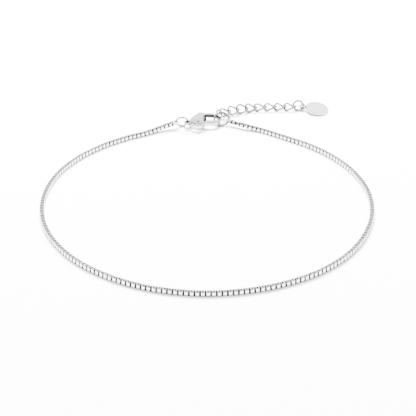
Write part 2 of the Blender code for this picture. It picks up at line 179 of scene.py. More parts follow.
def grid_mesh(name, rows, closed_rows=True):
    """A mesh skin over rings of points, each joined to the next."""
    count = len(rows)
    across = len(rows[0])
    points = [point for row in rows for point in row]
    faces = []
    for i in range(count if closed_rows else count - 1):
        for j in range(across):
            k = (i + 1) % count
            m = (j + 1) % across
            faces.append((i * across + j, k * across + j, k * across + m, i * across + m))
    mesh = bpy.data.meshes.new(name)
    mesh.from_pydata([tuple(point) for point in points], [], faces)
    mesh.update()
    work = bmesh.new()
    work.from_mesh(mesh)
    bmesh.ops.recalc_face_normals(work, faces=work.faces)
    work.to_mesh(mesh)
    work.free()
    mesh.shade_smooth()
    return mesh


def solder_seam(angle, seam):
    """How far a ring's wire is drawn in at its soldered joint."""
    away = abs((angle - seam + math.pi) % (2 * math.pi) - math.pi)
    return 1 - SEAM_DEPTH * math.exp(-(away / SEAM_REACH) ** 2)


def round_ring(name, radius, wire, centre, tilt, yaw, seam, steps=96, sides=20):
    """A jump ring: round wire in a circle, with a faint groove where it is soldered."""
    turn = Euler((tilt, 0, yaw)).to_matrix()
    rows = []
    for index in range(steps):
        a = 2 * math.pi * index / steps
        thin = wire / 2 * solder_seam(a, seam)
        row = []
        for k in range(sides):
            b = 2 * math.pi * k / sides
            reach = radius + thin * math.cos(b)
            local = Vector((reach * math.cos(a), reach * math.sin(a), thin * math.sin(b)))
            row.append(centre + turn @ local)
        rows.append(row)
    return grid_mesh(name, rows)


def add_piece(name, mesh, material, nodes, body="anklet"):
    """Put a finished piece in the scene, riding on its body in place of its nodes."""
    piece = bpy.data.objects.new(name, mesh)
    bpy.context.scene.collection.objects.link(piece)
    piece.data.materials.clear()
    piece.data.materials.append(material)
    bpy.context.view_layer.update()
    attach(piece, body)
    if nodes:
        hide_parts(*nodes)
    return piece


def wear_group():
    """Handling marks on polished silver: fine hairlines, faint smears and dulled spots."""
    group = bpy.data.node_groups.new("silver handling wear", "ShaderNodeTree")
    for label, kind, value in (("Tint", "NodeSocketColor", (0.8, 0.8, 0.8, 1)),
                               ("Gloss", "NodeSocketFloat", 0.1),
                               ("Smear", "NodeSocketFloat", 0.05),
                               ("Grain Size", "NodeSocketFloat", 2500.0)):
        socket = group.interface.new_socket(label, in_out="INPUT", socket_type=kind)
        socket.default_value = value
    for label, kind in (("Colour", "NodeSocketColor"),
                        ("Dullness", "NodeSocketFloat"),
                        ("Relief", "NodeSocketFloat")):
        group.interface.new_socket(label, in_out="OUTPUT", socket_type=kind)
    nodes = group.nodes
    links = group.links
    incoming = nodes.new("NodeGroupInput")
    outgoing = nodes.new("NodeGroupOutput")
    place = nodes.new("ShaderNodeTexCoord")
    smear = nodes.new("ShaderNodeTexNoise")
    smear.inputs["Detail"].default_value = 3
    links.new(place.outputs["Object"], smear.inputs["Vector"])
    links.new(incoming.outputs["Grain Size"], smear.inputs["Scale"])
    # Hairlines run long and narrow, at an angle to the piece
    stretch = nodes.new("ShaderNodeMapping")
    stretch.inputs["Scale"].default_value = (1, 14, 3)
    stretch.inputs["Rotation"].default_value = (0.4, 0.3, 0.7)
    links.new(place.outputs["Object"], stretch.inputs["Vector"])
    hair = nodes.new("ShaderNodeTexNoise")
    hair.inputs["Detail"].default_value = 5
    links.new(stretch.outputs["Vector"], hair.inputs["Vector"])
    links.new(incoming.outputs["Grain Size"], hair.inputs["Scale"])
    links.new(hair.outputs["Fac"], outgoing.inputs["Relief"])
    dullness = nodes.new("ShaderNodeMath")
    dullness.operation = "MULTIPLY_ADD"
    links.new(smear.outputs["Fac"], dullness.inputs[0])
    links.new(incoming.outputs["Smear"], dullness.inputs[1])
    links.new(incoming.outputs["Gloss"], dullness.inputs[2])
    links.new(dullness.outputs["Value"], outgoing.inputs["Dullness"])
    shade = nodes.new("ShaderNodeMapRange")
    shade.inputs["To Min"].default_value = 0.93
    shade.inputs["To Max"].default_value = 1.0
    links.new(smear.outputs["Fac"], shade.inputs["Value"])
    tint = multiply_colours(group, incoming.outputs["Tint"], shade.outputs["Result"])
    links.new(tint, outgoing.inputs["Colour"])
    return group


WEAR = wear_group()


def silver(name, tint, gloss, smear=0.06, grain=2500.0, relief=0.02):
    """White metal with its own tint, gloss and handling marks. The tints are low because the
    table's light is strong enough to turn the table white."""
    material = bpy.data.materials.new(name)
    material.use_nodes = True
    nodes = material.node_tree.nodes
    links = material.node_tree.links
    shader = nodes["Principled BSDF"]
    shader.inputs["Metallic"].default_value = 1
    wear = nodes.new("ShaderNodeGroup")
    wear.node_tree = WEAR
    wear.inputs["Tint"].default_value = (*tint, 1)
    wear.inputs["Gloss"].default_value = gloss
    wear.inputs["Smear"].default_value = smear
    wear.inputs["Grain Size"].default_value = grain
    links.new(wear.outputs["Colour"], shader.inputs["Base Color"])
    links.new(wear.outputs["Dullness"], shader.inputs["Roughness"])
    bump = nodes.new("ShaderNodeBump")
    bump.inputs["Strength"].default_value = relief
    bump.inputs["Distance"].default_value = WEAR_RELIEF
    links.new(wear.outputs["Relief"], bump.inputs["Height"])
    links.new(bump.outputs["Normal"], shader.inputs["Normal"])
    return material


ring_silver = silver("ring silver", (0.18, 0.18, 0.182), 0.11)
jump_centre = node_middle("jump_ring_left")
closing_centre = node_middle("closing_ring")
jump_mesh = round_ring("jump ring", JUMP_RING_RADIUS, JUMP_RING_WIRE, jump_centre,
                       JUMP_RING_TILT, 0, seam=math.radians(60))
add_piece("jump_ring_of_clasp_eye", jump_mesh, ring_silver, ["jump_ring_left"])
closing_mesh = round_ring("closing ring", CLOSING_RING_RADIUS, CLOSING_RING_WIRE, closing_centre,
                          CLOSING_RING_TILT, CLOSING_RING_YAW, seam=math.radians(200))
add_piece("closing_ring_on_hook", closing_mesh, ring_silver, ["closing_ring"])


# Chain ends
# The last link at each end is a longer band of thicker strip, plated like the chain, and a
# ring's wire passes through it.
LOOP_RADIUS = 36.2 * MM
CHAIN_WIDTH = 0.97 * MM
END_LINK_LENGTH = 1.5 * MM
END_LINK_BAND = 0.62 * MM
END_LINK_STRIP = 0.14 * MM
END_LINK_CORNER = 0.3 * MM
CHAIN_COLOUR = (0.62, 0.62, 0.625)
# Where each ring carries its end link, as an angle round the ring
RIGHT_SEAT = math.radians(-12)
LEFT_SEAT = math.radians(188)
# The chain's way round the loop: angle in degrees, radius as a share of the loop's, and
# height as a share of the chain's width
FRONT_SHARE = 0.994
CHAIN_ROUTE = [
    (76, 1.028, 0.88),
    (69, 1.018, 0.5),
    (59, 0.991, 0.5),
    (47, 0.991, 0.5),
    (34, 0.995, 0.5),
    (20, 1.0, 0.5),
    (5, 1.004, 0.5),
    (-10, 1.005, 0.5),
    (-25, 1.007, 0.5),
    (-40, 1.009, 0.5),
    (-55, 1.004, 0.5),
    (-72, 0.996, 0.5),
    (-90, FRONT_SHARE, 0.5),
    (-108, 0.995, 0.5),
    (-125, 0.997, 0.5),
    (-142, 1.002, 0.5),
    (-160, 1.005, 0.5),
    (-178, 1.006, 0.5),
    (-196, 1.006, 0.5),
    (-212, 1.003, 0.5),
    (-226, 0.998, 0.5),
    (-238, 0.995, 0.5),
    (-246, 0.997, 0.5),
    (-252, 1.017, 0.8),
]

# The loop's middle, measured back from the flat near side of the chain's eight-sided form
chain_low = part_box("box_chain")[0]
chain_side = CHAIN_WIDTH / 2 * math.cos(math.pi / 8)
LOOP_MIDDLE = Vector((0, chain_low.y + FRONT_SHARE * LOOP_RADIUS + chain_side, 0))


def route_point(row):
    """A point of the chain's route in the frame."""
    degrees, radius_share, height_share = row
    angle = math.radians(degrees)
    radius = LOOP_RADIUS * radius_share
    height = CHAIN_WIDTH * height_share
    return LOOP_MIDDLE + Vector((radius * math.cos(angle), radius * math.sin(angle), height))


def ring_point(centre, radius, tilt, yaw, angle):
    """A point on a ring's wire and the wire's direction there."""
    turn = Euler((tilt, 0, yaw)).to_matrix()
    point = turn @ Vector((radius * math.cos(angle), radius * math.sin(angle), 0))
    along = turn @ Vector((-math.sin(angle), math.cos(angle), 0))
    return centre + point, along


def band_rows(length, width, band, strip, corner, corner_steps=3):
    """Points of a square link: a rounded strip section carried round a rounded square."""
    h = band / 2
    c = 0.28 * strip
    d = 0.3 * c
    section = [(0, h - c), (d, h - d), (c, h),
               (strip - c, h), (strip - d, h - d), (strip, h - c),
               (strip, c - h), (strip - d, d - h), (strip - c, -h),
               (c, -h), (d, d - h), (0, c - h)]
    rows = []
    for quarter in range(4):
        sx = (1, -1, -1, 1)[quarter]
        sy = (1, 1, -1, -1)[quarter]
        for step in range(corner_steps + 1):
            angle = math.pi / 2 * (quarter + step / corner_steps)
            row = []
            for inset, up in section:
                r = max(corner - inset, 0.02 * MM)
                x = sx * (length / 2 - inset - r) + r * math.cos(angle)
                y = sy * (width / 2 - inset - r) + r * math.sin(angle)
                row.append(Vector((x, y, up)))
            rows.append(row)
    return rows


def repeat_mesh(name, templates, matrices):
    """One mesh with a copy of a template for each matrix, the templates taking turns."""
    count = len(templates[0].vertices)
    shapes = []
    for template in templates:
        points = np.zeros(count * 3)
        template.vertices.foreach_get("co", points)
        shapes.append(points.reshape(-1, 3))
    corners = np.array([list(face.vertices) for face in templates[0].polygons])
    all_points = []
    all_faces = []
    for index, matrix in enumerate(matrices):
        turn = np.array(matrix.to_3x3())
        shape = shapes[index % len(shapes)]
        all_points.append(shape @ turn.T + np.array(matrix.translation))
        all_faces.append(corners + index * count)
    mesh = bpy.data.meshes.new(name)
    mesh.from_pydata(np.concatenate(all_points).tolist(), [],
                     np.concatenate(all_faces).tolist())
    mesh.update()
    mesh.shade_smooth()
    return mesh


def link_place(middle, forward, across, axis):
    """The matrix of a link that lies along its chain at a point."""
    turn = Matrix((forward, across, axis)).transposed().to_4x4()
    return Matrix.Translation(middle) @ turn


chain_silver = silver("chain silver", CHAIN_COLOUR, 0.12, smear=0.08, grain=4000.0)
end_mesh = grid_mesh("end link", band_rows(END_LINK_LENGTH, CHAIN_WIDTH, END_LINK_BAND,
                                           END_LINK_STRIP, END_LINK_CORNER, 4))


def add_chain_end(side, ring, seat_angle, row):
    """One end link, seated on its ring's wire and pulled toward the chain's route."""
    node = "chain_end_link_" + side
    seat, along = ring_point(*ring, seat_angle)
    pull = (route_point(row) - seat).normalized()
    through = (along - pull * along.dot(pull)).normalized()
    middle = node_middle(node)
    matrix = link_place(middle, pull, through.cross(pull), through)
    mesh = repeat_mesh("chain end " + side, [end_mesh], [matrix])
    add_piece("chain_end_band_" + side, mesh, chain_silver, [node])
    return middle, pull, through


closing_ring = (closing_centre, CLOSING_RING_RADIUS, CLOSING_RING_TILT, CLOSING_RING_YAW)
jump_ring = (jump_centre, JUMP_RING_RADIUS, JUMP_RING_TILT, 0)
right_middle, right_pull, right_through = add_chain_end("right", closing_ring, RIGHT_SEAT,
                                                        CHAIN_ROUTE[0])
left_middle, left_pull, left_through = add_chain_end("left", jump_ring, LEFT_SEAT,
                                                     CHAIN_ROUTE[-1])


# Main chain
# A fine box chain: square links folded from flat strip, each turned a quarter round from
# the last. It is plated silver white and polished. The shade in the tiny gaps between the links
# is painted: dark blocks sit inside the links and their inner walls are near black.
LINK_LENGTH = 0.7 * MM
LINK_BAND = 0.84 * MM
LINK_STRIP = 0.07 * MM
LINK_PITCH = 0.55 * MM
LINK_CORNER = 0.08 * MM
# The dark bar and web sizes below are for painted shade in the gaps between the links
LINK_SHADE_WEB = 0.06 * MM
LINK_SHADE_WEB_WIDTH = 0.38 * MM
LINK_SHADE_BAR = 0.36 * MM
LINK_SHADE_BAR_PROUD = 0.004 * MM
# The end link's own wall and the play inside it, in thicknesses of its strip
END_LINK_WALLS = 1.3
# The run leans a little, so that its near faces turn up toward the viewer
CHAIN_LEAN = math.radians(12)
# Length over which each end of the run turns to meet its end link, and how quickly it eases
TWIST_REACH = 3.5 * MM
TWIST_EASE = 1.5
ROUTE_POINTS = 6000
ROUTE_WINDOW = 3
# A link's faces come in rows, each with one face for every side of the strip's section. Two
# of the rows are the link's end walls, and three sides of the section face inward.
SECTION_SIDES = 12
END_WALLS = (7, 15)
INNER_FIRST = 4
INNER_LAST = 6
# The dark block in a link's middle is painted shade for the gaps between links, and comes after
# its rows
SHADE_BLOCK_FACES = 6


def smooth_route(points, count):
    """Evenly spaced points on a smooth curve through the given points."""
    distance = [0.0]
    for before, after in zip(points, points[1:]):
        distance.append(distance[-1] + (after - before).length)
    slopes = []
    for index in range(len(points)):
        low = max(index - 1, 0)
        high = min(index + 1, len(points) - 1)
        slopes.append((points[high] - points[low]) / (distance[high] - distance[low]))
    result = []
    leg = 0
    for index in range(count):
        want = distance[-1] * index / (count - 1)
        while leg < len(points) - 2 and distance[leg + 1] < want:
            leg += 1
        length = distance[leg + 1] - distance[leg]
        t = (want - distance[leg]) / length
        result.append(points[leg] * (2 * t ** 3 - 3 * t ** 2 + 1)
                      + slopes[leg] * length * (t ** 3 - 2 * t ** 2 + t)
                      + points[leg + 1] * (3 * t ** 2 - 2 * t ** 3)
                      + slopes[leg + 1] * length * (t ** 3 - t ** 2))
    return result


# The run starts just inside the right end link's far wall and stops inside the left one's
end_reach = END_LINK_LENGTH / 2 - END_LINK_WALLS * END_LINK_STRIP - LINK_STRIP
start = right_middle + right_pull * end_reach
finish = left_middle + left_pull * end_reach
route = ([start, start + right_pull * CHAIN_WIDTH]
         + [route_point(row) for row in CHAIN_ROUTE]
         + [finish + left_pull * CHAIN_WIDTH, finish])
fine = smooth_route(route, ROUTE_POINTS)
travelled = [0.0]
for before, after in zip(fine, fine[1:]):
    travelled.append(travelled[-1] + (after - before).length)
total = travelled[-1]
# An even number of steps, so that both end links meet a link that lies the same way
link_steps = 2 * round(((total - LINK_LENGTH) / LINK_PITCH) / 2)
spacing = (total - LINK_LENGTH) / link_steps


def chain_frame(distance):
    """Position and forward direction at a distance along the chain."""
    index = int(np.searchsorted(travelled, distance))
    index = min(max(index, ROUTE_WINDOW), len(fine) - ROUTE_WINDOW - 1)
    share = (distance - travelled[index - 1]) / (travelled[index] - travelled[index - 1])
    here = fine[index - 1].lerp(fine[index], share)
    forward = (fine[index + ROUTE_WINDOW] - fine[index - ROUTE_WINDOW]).normalized()
    return here, forward


def side_and_up(forward):
    """The level side direction and the upward direction square to the chain's line."""
    side = forward.cross(Vector((0, 0, 1))).normalized()
    return side, side.cross(forward)


def roll_to(forward, wanted):
    """The roll about the chain's line that turns up toward a wanted direction, within a
    quarter turn either way."""
    side, up = side_and_up(forward)
    roll = math.atan2(wanted.dot(side), wanted.dot(up))
    return (roll + math.pi / 2) % math.pi - math.pi / 2


def box_link(half):
    """A square link with a dark block of the given half size in its middle, painted shade for
    the gaps between links.
    """
    mesh = grid_mesh("box link", band_rows(LINK_LENGTH, CHAIN_WIDTH, LINK_BAND,
                                           LINK_STRIP, LINK_CORNER))
    work = bmesh.new()
    work.from_mesh(mesh)
    bmesh.ops.create_cube(work, size=2, matrix=Matrix.Diagonal((*half, 1)))
    work.to_mesh(mesh)
    work.free()
    return mesh


right_roll = roll_to(right_pull, right_through)
left_roll = roll_to(-left_pull, left_through)
matrices = []
for number in range(link_steps + 1):
    distance = LINK_LENGTH / 2 + number * spacing
    here, forward = chain_frame(distance)
    near_right = max(0.0, 1 - distance / TWIST_REACH)
    near_left = max(0.0, 1 - (total - distance) / TWIST_REACH)
    roll = right_roll * near_right ** TWIST_EASE + left_roll * near_left ** TWIST_EASE
    outward = here - LOOP_MIDDLE
    free = max(0.0, 1 - near_right - near_left)
    lean = -CHAIN_LEAN * outward.y / math.hypot(outward.x, outward.y) * free
    roll += lean
    # A leaning link stands on its lower edge
    rise = LINK_BAND / 2 * abs(math.sin(lean)) - CHAIN_WIDTH / 2 * (1 - math.cos(lean))
    here = here + Vector((0, 0, rise))
    if number % 2 == 0:
        roll += math.pi / 2
    side, up = side_and_up(forward)
    axis = up * math.cos(roll) + side * math.sin(roll)
    matrices.append(link_place(here, forward, axis.cross(forward), axis))

# Painted shade: the flat-lying links carry a dark bar, a little proud of their faces, where the
# shaded gaps between links show, and the upright ones carry a thin dark web inside
shade_bar_half = (LINK_SHADE_BAR / 2, CHAIN_WIDTH / 2 + LINK_SHADE_BAR_PROUD,
              LINK_BAND / 2 + LINK_SHADE_BAR_PROUD)
shade_web_half = (LINK_SHADE_WEB_WIDTH / 2, CHAIN_WIDTH / 2 - LINK_STRIP / 2, LINK_SHADE_WEB / 2)
link_meshes = [box_link(shade_bar_half), box_link(shade_web_half)]
chain_mesh = repeat_mesh("box links", link_meshes, matrices)
chain = add_piece("chain_of_box_links", chain_mesh, chain_silver, ["box_chain"])

# Painted shade: the end walls, inner walls and middle blocks of each link get a near-black, dull
# material that stands in for the shade inside the chain
shade_inside_links = bpy.data.materials.new("painted shade inside the links")
shade_inside_links.use_nodes = True
shade_inside_shader = shade_inside_links.node_tree.nodes["Principled BSDF"]
shade_inside_shader.inputs["Base Color"].default_value = (0.015, 0.015, 0.015, 1)
shade_inside_shader.inputs["Roughness"].default_value = 0.7
shade_inside_shader.inputs["Specular IOR Level"].default_value = 0.1
chain.data.materials.append(shade_inside_links)
link_faces = len(link_meshes[0].polygons)
place_in_link = np.arange(len(chain.data.polygons)) % link_faces
side_of_section = place_in_link % SECTION_SIDES
in_block = place_in_link >= link_faces - SHADE_BLOCK_FACES
in_end_wall = np.isin(place_in_link // SECTION_SIDES, END_WALLS)
on_inner_side = (side_of_section >= INNER_FIRST) & (side_of_section <= INNER_LAST)
dark = (in_block | in_end_wall | on_inner_side).astype(np.int32)
chain.data.polygons.foreach_set("material_index", dark)
keep_flat = chain.modifiers.new("flat faces", "WEIGHTED_NORMAL")
keep_flat.keep_sharp = True


# Extender
# A short curb chain: oval links of round wire, twisted an eighth of a turn to either side
# so that the row lies flat. It starts at the closing ring and ends at the tag's ring.
EXTENDER_HALF_LENGTH = 1.515 * MM
EXTENDER_HALF_WIDTH = 1.15 * MM
EXTENDER_WIRE = 0.5 * MM
EXTENDER_TWIST = math.radians(45)
EXTENDER_STEPS = 72
# Yaw, pitch and roll of each link in degrees, from the closing ring outward
EXTENDER_LAY = [
    (95, -22.4, 39),
    (42, -5.9, 28),
    (29.4, -2.3, 30),
    (20.4, -1.2, 32),
    (23.3, -6.8, 22),
    (4.5, 0, 5),
    (2, 0, 5),
    (0.6, 0, 5),
    (0, 0, 5),
]


def wire_loop(name, points, wire, sides=16):
    """A closed loop of round wire along a path of points."""
    count = len(points)
    middle = sum(points, Vector()) / count
    rows = []
    for index, point in enumerate(points):
        along = (points[(index + 1) % count] - points[index - 1]).normalized()
        outward = point - middle
        normal = (outward - along * outward.dot(along)).normalized()
        side = along.cross(normal)
        rows.append([point + (normal * math.cos(a) + side * math.sin(a)) * wire / 2
                     for a in (2 * math.pi * k / sides for k in range(sides))])
    return grid_mesh(name, rows)


def curb_path(middle, yaw, pitch, roll):
    """The line of a curb link's wire: an oval, twisted along its length."""
    turn = Euler((math.radians(roll), -math.radians(pitch), math.radians(yaw))).to_matrix()
    path = []
    for index in range(EXTENDER_STEPS):
        a = 2 * math.pi * index / EXTENDER_STEPS
        twist = -EXTENDER_TWIST * math.cos(a)
        out = EXTENDER_HALF_WIDTH * math.sin(a)
        local = Vector((EXTENDER_HALF_LENGTH * math.cos(a),
                        out * math.cos(twist),
                        out * math.sin(twist)))
        path.append(middle + turn @ local)
    return path


curb_silver = silver("curb link silver", (0.18, 0.18, 0.182), 0.12)
for number, lay in enumerate(EXTENDER_LAY, 1):
    node = f"extender_link_{number}"
    path = curb_path(node_middle(node), *lay)
    mesh = wire_loop(f"curb link {number}", path, EXTENDER_WIRE)
    add_piece(f"curb_link_{number}", mesh, curb_silver, [node])


# Tag ring and tag
# A round ring carries a small disc cut from sheet, with a loop of wire soldered to its
# edge. It is satin all over, with a thin turned line inside its rounded rim.
TAG_RING_RADIUS = 1.25 * MM
TAG_RING_WIRE = 0.5 * MM
TAG_RING_TILT = math.radians(42)
TAG_RING_YAW = math.radians(-6.7)
TAG_RADIUS = 2.85 * MM
TAG_THICKNESS = 0.5 * MM
TAG_TILT = math.radians(5)
TAG_ROLL = math.radians(7)
TAG_STEPS = 128
TAG_LOOP_RADIUS = 0.62 * MM
TAG_LOOP_WIRE = 0.45 * MM
TAG_LOOP_TILT = math.radians(-76)
TAG_LOOP_YAW = math.radians(-8.7)
# How far the loop stands off the disc's edge and sinks below it, in thicknesses of its wire
TAG_LOOP_GAP = 0.1
TAG_LOOP_SINK = 0.22
# Radius as a share of the disc's and height as a share of half its thickness
TAG_PROFILE = [
    (0.0, 1.0),
    (0.3, 1.0),
    (0.6, 1.0),
    (0.8, 1.0),
    (0.84, 1.0),
    (0.855, 0.93),
    (0.87, 0.93),
    (0.885, 1.0),
    (0.93, 0.99),
    (0.965, 0.93),
    (0.985, 0.8),
    (0.997, 0.5),
    (1.0, 0.0),
    (0.997, -0.5),
    (0.985, -0.8),
    (0.965, -0.95),
    (0.92, -1.0),
    (0.5, -1.0),
    (0.0, -1.0),
]

tag_ring_mesh = round_ring("tag ring", TAG_RING_RADIUS, TAG_RING_WIRE, node_middle("tag_ring"),
                           TAG_RING_TILT, TAG_RING_YAW, seam=math.radians(300))
add_piece("tag_jump_ring", tag_ring_mesh, ring_silver, ["tag_ring"])

tag_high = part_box("tag")[1]
tag_lean = math.hypot(math.sin(TAG_TILT), math.sin(TAG_ROLL) * math.cos(TAG_TILT))
tag_height = TAG_RADIUS * tag_lean + TAG_THICKNESS / 2
tag_reach_x = TAG_RADIUS * math.cos(TAG_ROLL) + TAG_THICKNESS / 2 * math.sin(TAG_ROLL)
tag_reach_y = TAG_RADIUS * math.cos(TAG_TILT) + TAG_THICKNESS / 2 * math.sin(TAG_TILT)
tag_centre = Vector((tag_high.x - tag_reach_x, tag_high.y - tag_reach_y, tag_height))
tag_turn = Euler((TAG_TILT, TAG_ROLL, 0)).to_matrix()
rows = []
for share, up in TAG_PROFILE:
    radius = max(TAG_RADIUS * share, 0.01 * MM)
    row = []
    for k in range(TAG_STEPS):
        a = 2 * math.pi * k / TAG_STEPS
        local = Vector((radius * math.cos(a), radius * math.sin(a), TAG_THICKNESS / 2 * up))
        row.append(tag_centre + tag_turn @ local)
    rows.append(row)
tag_mesh = grid_mesh("tag disc", rows, closed_rows=False)
work = bmesh.new()
work.from_mesh(tag_mesh)
bmesh.ops.holes_fill(work, edges=work.edges, sides=0)
bmesh.ops.recalc_face_normals(work, faces=work.faces)
work.to_mesh(tag_mesh)
work.free()
tag_mesh.shade_smooth()
satin = silver("satin tag silver", (0.55, 0.55, 0.555), 0.22, smear=0.1, grain=1500.0,
               relief=0.12)
add_piece("round_tag", tag_mesh, satin, ["tag"])

loop_away = TAG_RADIUS + TAG_LOOP_RADIUS + TAG_LOOP_GAP * TAG_LOOP_WIRE
loop_height = tag_height + TAG_RADIUS * math.sin(TAG_ROLL) - TAG_LOOP_SINK * TAG_LOOP_WIRE
loop_centre = Vector((tag_centre.x - loop_away * math.cos(TAG_LOOP_YAW),
                      tag_centre.y - loop_away * math.sin(TAG_LOOP_YAW),
                      loop_height))
loop_mesh = round_ring("tag loop", TAG_LOOP_RADIUS, TAG_LOOP_WIRE, loop_centre,
                       TAG_LOOP_TILT, TAG_LOOP_YAW, seam=0)
add_piece("tag_soldered_loop", loop_mesh, ring_silver, [])


# Clasp
# A cast lobster clasp, polished all over. The body is a domed pebble on a flat underside,
# with the hook and the eye in one with it, and the lever turns on a plain pin.
CLASP_THICKNESS = 2.0 * MM
CLASP_EDGE = 0.38 * MM
DOME_REACH = 4.6 * MM
HOOK_LIFT = 1.2 * MM
HOOK_RADIUS = 2.29 * MM
HOOK_BAR = 0.95 * MM
HOOK_THICKNESS = 1.0 * MM
HOOK_EDGE = 0.3 * HOOK_BAR
HOOK_INNER = HOOK_RADIUS - HOOK_BAR / 2
HOOK_OUTER = HOOK_RADIUS + HOOK_BAR / 2
EYE_RADIUS = 0.9 * MM
EYE_HOLE_RADIUS = 0.5 * MM
EYE_THICKNESS = 0.8 * MM
EYE_EDGE = 0.2 * MM
EYE_REACH = 5.52 * MM
EYE_DROP = 1.9 * MM
EYE_LIFT = 1.25 * MM
PIVOT_REACH = 2.95 * MM
PIVOT_DROP = 1.85 * MM
PIVOT_BOSS_RADIUS = 1.37 * MM
PIN_RADIUS = 0.25 * MM
PIN_CLEARANCE = 0.04 * MM
LEVER_THICKNESS = 0.95 * MM
LEVER_EDGE = 0.14 * MM
LEVER_CLEARANCE = 0.17 * MM
LUG_THICKNESS = 0.5 * MM
LUG_DROP = 0.15 * MM
LUG_RADIUS = 0.75 * MM
SEAM = 0.1 * MM
FINE_CLEARANCE = 0.05 * MM
# Where the hook's bar leaves the body, as a share of the eye's reach, and how close the body
# comes to the hook's middle, as a share of the hook's inner radius
HOOK_ROOT = 0.33
BODY_MOUTH = 0.92
# Fineness to which each casting's joins are melted, and the rounds of polishing after
BODY_MELT = 0.04 * MM
BODY_POLISH = 8
LEVER_MELT = 0.03 * MM
LEVER_POLISH = 6
# How far the lug's arm reaches into the gate, as a share of the lug's radius
LUG_ARM = 0.45
# How far the painted shade inside the hook reaches past its inner line, and the greatest upward
# share of a face's normal that still counts as its wall
SHADE_REACH = 0.06 * MM
SHADE_UPRIGHT = 0.75
# Middle of the dome, and outline of the body, as shares of the eye's reach and of the
# hook's outer radius
DOME_CROWN = (-0.47, 0.29)
BODY_SHOULDER = (-0.353, 0.984)
BODY_FAR_EDGE = [(-0.48, 1.025), (-0.527, 0.93), (-0.589, 0.74), (-0.725, 0.38), (-0.87, -0.06)]
BODY_NEAR_EDGE = [(-0.805, -0.6), (-0.725, -0.74), (-0.64, -0.885), (-0.55, -0.965),
                  (-0.471, -0.995)]
# Neck between the eye and the body, as shares of the eye's radius from its centre
NECK = [(0.2, 0.85), (0.85, 0.35)]
# Outline of the lever's tab, as an angle round the pivot and a share of the pivot's reach
TAB_OUTER_EDGE = [(-31, 0.655), (-45, 0.695), (-65, 0.765), (-82, 0.8), (-100, 0.806),
                  (-120, 0.79), (-136, 0.775), (-146, 0.765)]
TAB_INNER_EDGE = [(-150, 0.725), (-149, 0.665), (-138, 0.61), (-121, 0.57), (-106, 0.55)]

pin_low, pin_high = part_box("clasp_pin")
hook_centre = Vector(((pin_low.x + pin_high.x) / 2 + PIVOT_REACH,
                      (pin_low.y + pin_high.y) / 2 + PIVOT_DROP,
                      HOOK_LIFT))
pivot = (-PIVOT_REACH, -PIVOT_DROP)


def polar(radius, degrees):
    """A point at a radius and an angle from the centre."""
    return (radius * math.cos(math.radians(degrees)), radius * math.sin(math.radians(degrees)))


def arc(centre, radius, start, end, steps):
    """Points along an arc in the plan, from a start to an end angle in degrees."""
    turns = [polar(radius, start + (end - start) * k / steps) for k in range(steps + 1)]
    return [(centre[0] + x, centre[1] + y) for x, y in turns]


def lean_angle(drop, radius):
    """The angle in degrees at which a circle comes to a drop from its centre."""
    return math.degrees(math.asin(drop / radius))


def shares(edge):
    """The points of an edge that is given as shares of the eye's reach and the hook."""
    return [(x * EYE_REACH, y * HOOK_OUTER) for x, y in edge]


def eased(points, count):
    """The same line through the points, smoothly curved."""
    return [(p.x, p.y) for p in smooth_route([Vector((x, y, 0)) for x, y in points], count)]


def shaped(form):
    """The mesh of a form with its modifiers or bevels worked in."""
    depsgraph = bpy.context.evaluated_depsgraph_get()
    return bpy.data.meshes.new_from_object(form.evaluated_get(depsgraph))


def set_form(name, mesh, place):
    """Put a helping form at a place that is measured from the hook's centre."""
    form = bpy.data.objects.new(name, mesh)
    bpy.context.scene.collection.objects.link(form)
    form.location = hook_centre + Vector(place)
    return form


def slab(name, outlines, thickness, edge, place):
    """A flat form with well rounded edges, in the clasp's frame."""
    curve = bpy.data.curves.new(name, "CURVE")
    curve.dimensions = "2D"
    curve.fill_mode = "BOTH"
    curve.extrude = thickness / 2 - edge
    curve.bevel_depth = edge
    curve.bevel_resolution = 5
    curve.offset = -edge
    for outline in outlines:
        spline = curve.splines.new("POLY")
        spline.points.add(len(outline) - 1)
        for point, (x, y) in zip(spline.points, outline):
            point.co = (x, y, 0, 1)
        spline.use_cyclic_u = True
    holder = bpy.data.objects.new(name + " curve", curve)
    bpy.context.scene.collection.objects.link(holder)
    bpy.context.view_layer.update()
    mesh = shaped(holder)
    bpy.data.objects.remove(holder, do_unlink=True)
    work = bmesh.new()
    work.from_mesh(mesh)
    bmesh.ops.remove_doubles(work, verts=work.verts, dist=0.001 * MM)
    bmesh.ops.recalc_face_normals(work, faces=work.faces)
    work.to_mesh(mesh)
    work.free()
    return set_form(name, mesh, place)


def solid(name, kind, place, size):
    """A ball, a bar along Z or a block that helps to shape the clasp."""
    mesh = bpy.data.meshes.new(name)
    work = bmesh.new()
    if kind == "ball":
        bmesh.ops.create_uvsphere(work, u_segments=96, v_segments=48, radius=1,
                                  matrix=Matrix.Diagonal((*size, 1)))
    elif kind == "bar":
        radius, depth = size
        bmesh.ops.create_cone(work, cap_ends=True, segments=48, radius1=radius,
                              radius2=radius, depth=depth)
    else:
        bmesh.ops.create_cube(work, size=1, matrix=Matrix.Diagonal((*size, 1)))
    work.to_mesh(mesh)
    work.free()
    return set_form(name, mesh, place)


def casting(name, base, steps, fineness, rounds):
    """Fuse and cut the forms, then melt the joins together as in a polished casting."""
    for operation, other in steps:
        modifier = base.modifiers.new(other.name, "BOOLEAN")
        modifier.operation = operation
        modifier.object = other
        modifier.solver = "EXACT"
    melt = base.modifiers.new("melt", "REMESH")
    melt.mode = "VOXEL"
    melt.voxel_size = fineness
    polish = base.modifiers.new("polish", "SMOOTH")
    polish.factor = 0.5
    polish.iterations = rounds
    bpy.context.view_layer.update()
    mesh = shaped(base)
    mesh.transform(base.matrix_world)
    for _, other in steps:
        bpy.data.objects.remove(other, do_unlink=True)
    bpy.data.objects.remove(base, do_unlink=True)
    mesh.name = name
    mesh.shade_smooth()
    return mesh


